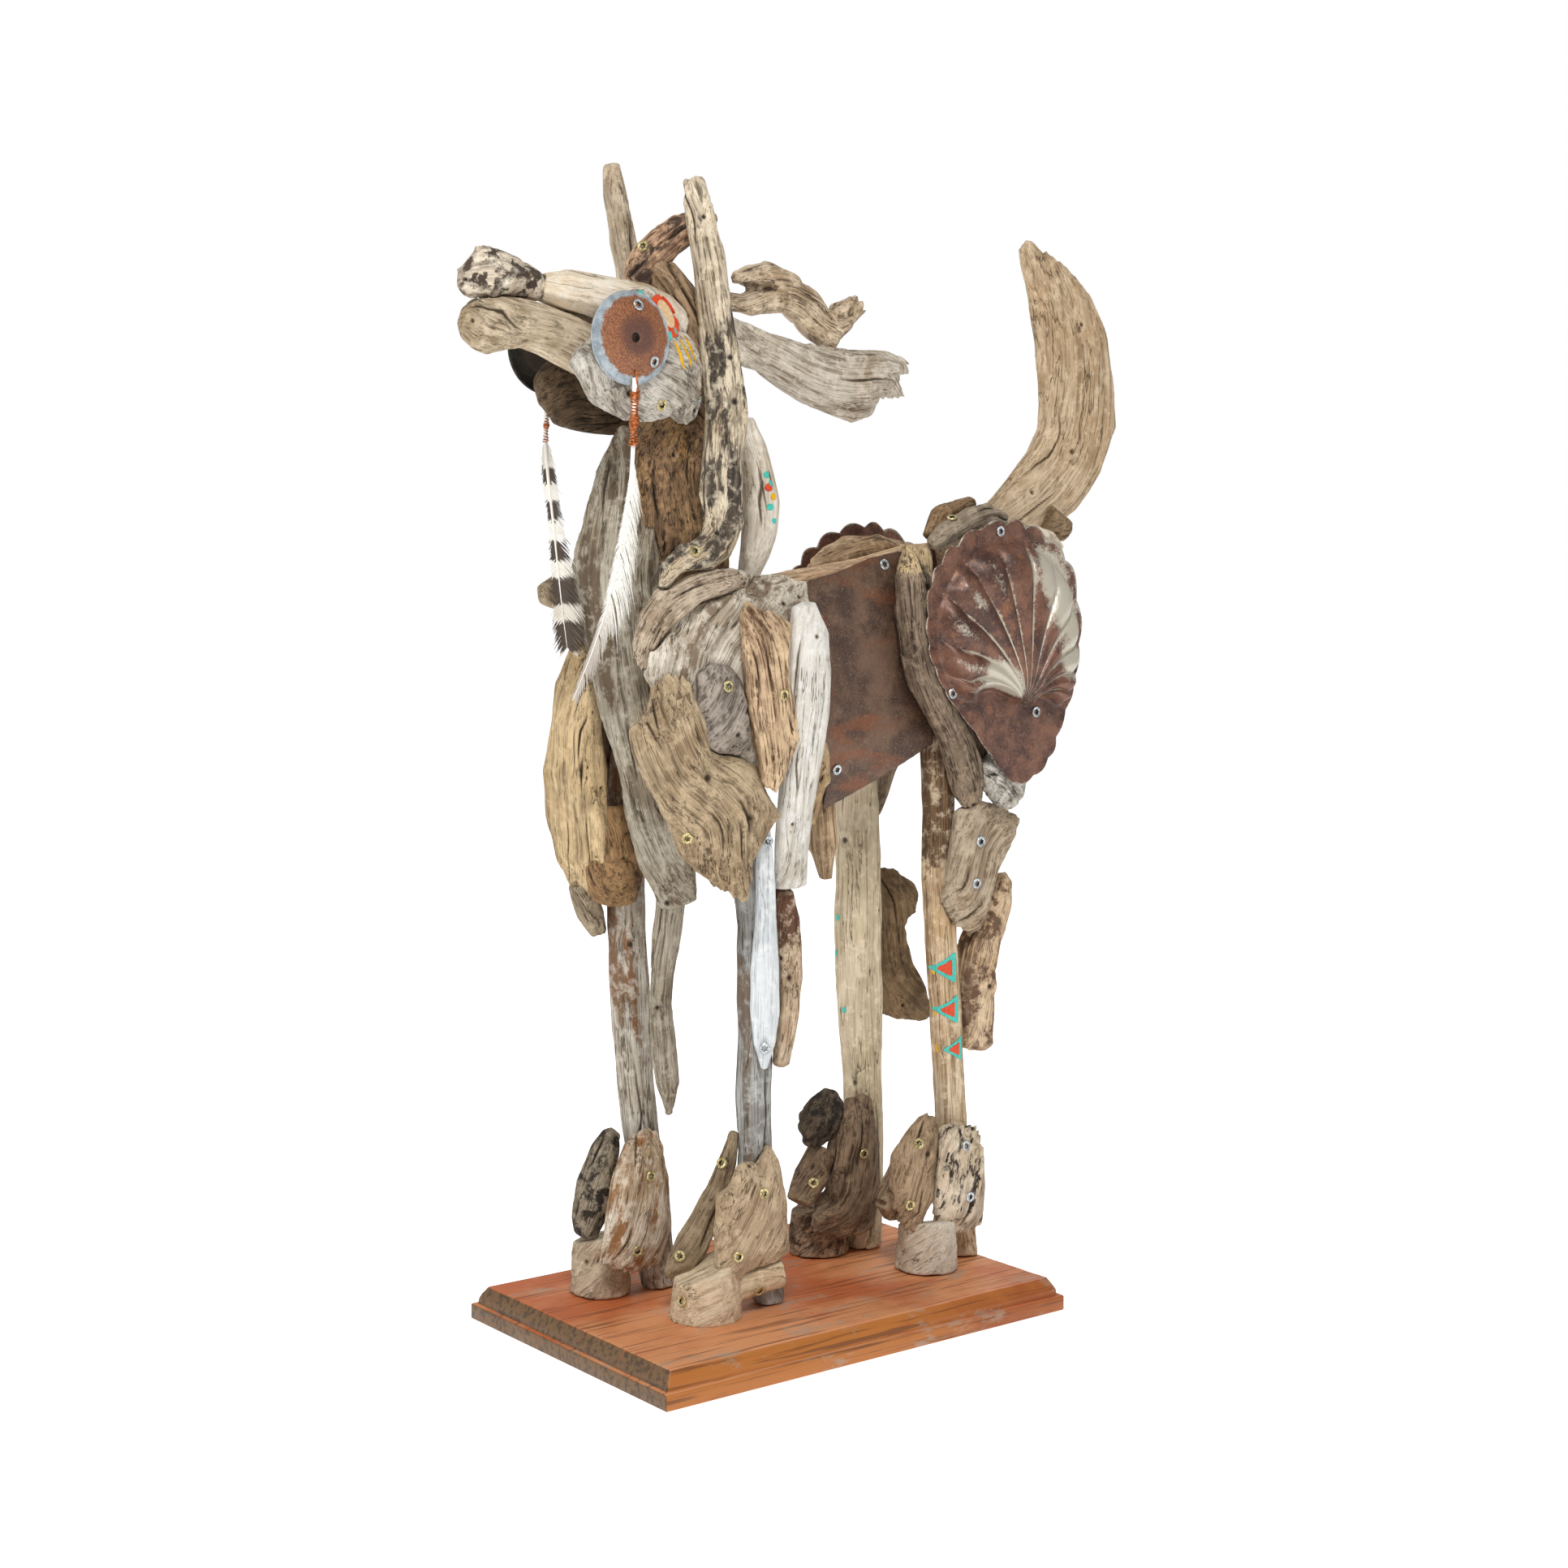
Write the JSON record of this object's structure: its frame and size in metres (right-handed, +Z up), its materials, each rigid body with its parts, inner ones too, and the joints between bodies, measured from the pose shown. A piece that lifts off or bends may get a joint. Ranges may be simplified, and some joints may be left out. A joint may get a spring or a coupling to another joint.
{
  "type": "driftwood horse sculpture",
  "caption": "Standing horse built up from driftwood pieces, rusty sheet metal, scalloped pans and hanging feathers on a stained wooden plinth.",
  "frame": {"origin": "centre of the plinth's underside", "axes": "+Z up, the horse faces -Y, its left side faces +X"},
  "size_m": [0.308, 0.7351, 1.0138],
  "materials": {
    "grey_driftwood": "weathered silver-grey driftwood, raised grain, matt",
    "pale_driftwood": "bleached driftwood, fine grain, matt",
    "tan_driftwood": "warm tan driftwood with darker grain and knots, matt",
    "brown_driftwood": "brown driftwood with grey patches, matt",
    "dark_driftwood": "dark brown cracked driftwood, matt",
    "bark_wood": "rough driftwood with bark left on",
    "white_painted_wood": "worn white paint over grey wood",
    "birch_wood": "cream birch wood with black bark specks",
    "red_bark_wood": "red-brown bark with peeled cream patches",
    "stained_plinth_wood": "orange-red stained timber, scuffed on top, satin",
    "rusted_sheet": "rusted sheet steel, dark brown with orange bloom",
    "enamelled_pan": "rusted pressed steel with worn cream enamel",
    "galvanised_disc": "dull galvanised steel, rust at the middle",
    "white_feather": "white feather vane, grey-tan along one edge",
    "barred_feather": "feather vane barred white and brown",
    "copper_wire": "dull copper wire",
    "brass_screw": "yellow-passivated screw heads",
    "zinc_screw": "zinc-plated screw heads",
    "paint_marks": "hand-painted marks in turquoise, orange-red and yellow"
  },
  "bodies": {
    "root": {"plinth": "stained_plinth_wood", "eye_disc_left": "galvanised_disc", "eye_disc_right": "rusted_sheet", "cheek_left": "grey_driftwood", "cheek_right": "brown_driftwood", "forelock": "red_bark_wood", "neck_branch": "pale_driftwood", "ear_right": "tan_driftwood", "muzzle_bark": "bark_wood", "jaw_lower": "tan_driftwood", "nose_upper": "tan_driftwood", "mane_board": "tan_driftwood", "mane_twist": "pale_driftwood", "nape": "brown_driftwood", "feather_left": "white_feather", "feather_right": "barred_feather", "shell_left": "enamelled_pan", "shell_right": "enamelled_pan", "rump_strip": "grey_driftwood", "stifle_block": "white_painted_wood", "thigh_left": "brown_driftwood", "thigh_right": "brown_driftwood", "side_plate": "rusted_sheet", "croup_block": "grey_driftwood", "tail": "tan_driftwood", "shoulder_stripe": "tan_driftwood", "shoulder_board": "pale_driftwood", "shoulder_plank": "grey_driftwood", "elbow_slab": "tan_driftwood", "shoulder_arch": "grey_driftwood", "shoulder_left": "pale_driftwood", "shoulder_right": "brown_driftwood", "breast_right": "tan_driftwood", "breast_board": "grey_driftwood", "neck_centre": "dark_driftwood", "neck_back": "grey_driftwood", "elbow_slat": "white_painted_wood", "knee_stick": "tan_driftwood", "chest_stick": "tan_driftwood", "hock_slab_left": "tan_driftwood", "hock_stick_left": "bark_wood", "hock_board_right": "bark_wood", "pastern_fore_left_slab": "tan_driftwood", "pastern_fore_left_stick": "brown_driftwood", "pastern_fore_right_slab": "tan_driftwood", "pastern_fore_right_stick": "dark_driftwood", "pastern_hind_right_slab": "brown_driftwood", "pastern_hind_right_bark": "bark_wood", "pastern_hind_left_slab": "tan_driftwood", "pastern_hind_left_birch": "birch_wood", "foreleg_left": "brown_driftwood", "foreleg_right": "brown_driftwood", "hindleg_left": "tan_driftwood", "hindleg_right": "brown_driftwood", "hoof_fore_left": "bark_wood", "hoof_fore_right": "bark_wood", "hoof_hind_left": "bark_wood", "hoof_hind_right": "bark_wood", "flank_right": "grey_driftwood", "trunk": "grey_driftwood"}
  },
  "joints": []
}
